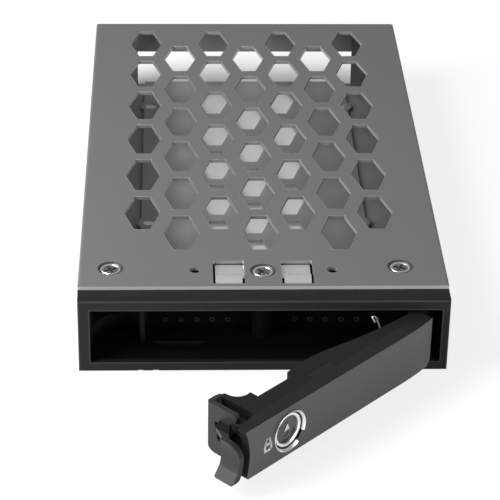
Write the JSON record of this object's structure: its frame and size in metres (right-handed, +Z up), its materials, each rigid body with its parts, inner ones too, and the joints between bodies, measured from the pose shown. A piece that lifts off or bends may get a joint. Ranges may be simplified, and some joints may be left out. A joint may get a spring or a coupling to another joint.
{
  "type": "drive carrier",
  "caption": "Front-loading carrier for a 2.5-inch drive: perforated folded-metal sleeve, black front bezel and a swing-out handle with latch and cam lock",
  "frame": {"origin": "the middle of the four drive screw holes, on the seat that the drive rests on", "axes": "+X to the hinge side seen from the front, +Y towards the connector end, +Z up"},
  "size_m": [0.0974, 0.229, 0.0229],
  "materials": {
    "painted_sheet": "satin grey coated sheet steel with bright cut edges",
    "tray_sheet": "dark grey coated sheet steel",
    "bezel_plastic": "fine-textured black",
    "handle_plastic": "satin black",
    "fascia_plastic": "satin black, lightly grained",
    "screw_steel": "plated",
    "spring_steel": "bright rolled",
    "lock_chrome": "polished",
    "cam_steel": "plated"
  },
  "bodies": {
    "carrier": {"cover_plate": "painted_sheet", "base_tray": "tray_sheet", "front_bezel": "bezel_plastic", "cover_screws": "screw_steel", "floor_screw": "screw_steel", "contact_spring": "spring_steel", "hinge_pin": "screw_steel", "handle_spring": "spring_steel"},
    "handle": {"handle_lever": "handle_plastic", "handle_fascia": "fascia_plastic", "lock_ring": "lock_chrome", "lock_housing": "lock_chrome", "latch_pin": "screw_steel", "latch_spring": "spring_steel"},
    "lock": {"lock_plug": "lock_chrome", "lock_cam": "cam_steel", "cam_screw": "screw_steel"},
    "latch": {"latch_rocker": "handle_plastic"}
  },
  "joints": [
    {"name": "handle_hinge", "type": "hinge", "parent": "carrier", "child": "handle", "pos_m": [0.0426, -0.1032, 0.0087], "axis": [0, 0, 1], "range_deg": [-45, 0], "stiffness_Nm_per_rad": 0.02, "springref_deg": 34.38},
    {"name": "latch_pivot", "type": "hinge", "parent": "handle", "child": "latch", "pos_m": [-0.00782, -0.16012, 0.0087], "axis": [0, 0, 1], "range_deg": [0, 11], "stiffness_Nm_per_rad": 0.003, "springref_deg": -17.19},
    {"name": "lock_turn", "type": "hinge", "parent": "handle", "child": "lock", "pos_m": [0.00456, -0.1568, 0.0087], "axis": [0.7071, -0.7071, 0], "range_deg": [-90, 0]}
  ]
}
